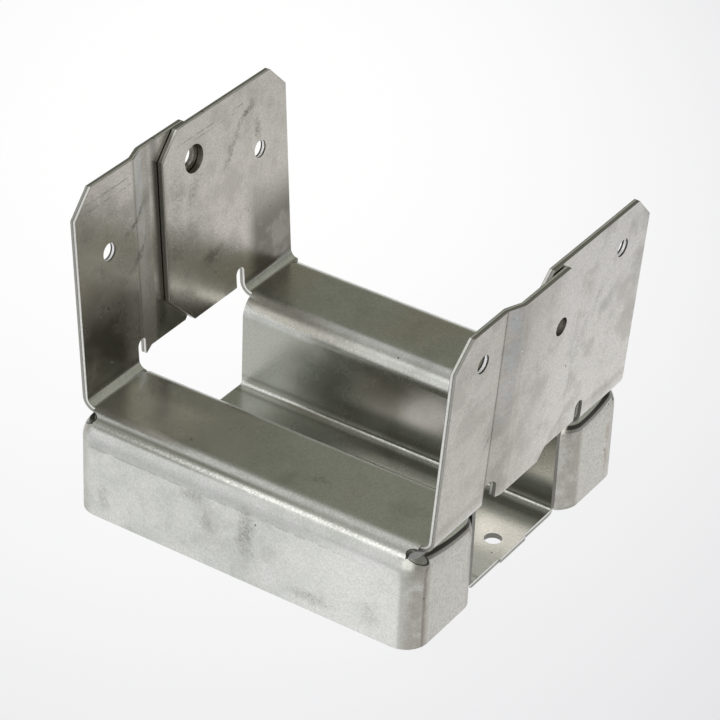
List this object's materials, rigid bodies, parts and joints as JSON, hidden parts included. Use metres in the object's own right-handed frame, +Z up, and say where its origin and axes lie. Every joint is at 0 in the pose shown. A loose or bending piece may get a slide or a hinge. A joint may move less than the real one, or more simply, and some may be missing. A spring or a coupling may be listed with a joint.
{
  "type": "timber post base",
  "caption": "Folded sheet-steel standoff base for a square timber post: two raised shelves across a bolted base plate, with lapped side flaps for nailing.",
  "frame": {"origin": "centre of the anchor hole, on the underside of the base plate", "axes": "+X along the shelves towards the right-hand flaps, +Y to the back, +Z up into the post"},
  "size_m": [0.103, 0.0876, 0.0778],
  "materials": {
    "galvanised_sheet": "matte mottled hot-dip galvanised, with bright worn bends and sheared edges"
  },
  "bodies": {
    "root": {"post_base": "galvanised_sheet"}
  },
  "joints": []
}
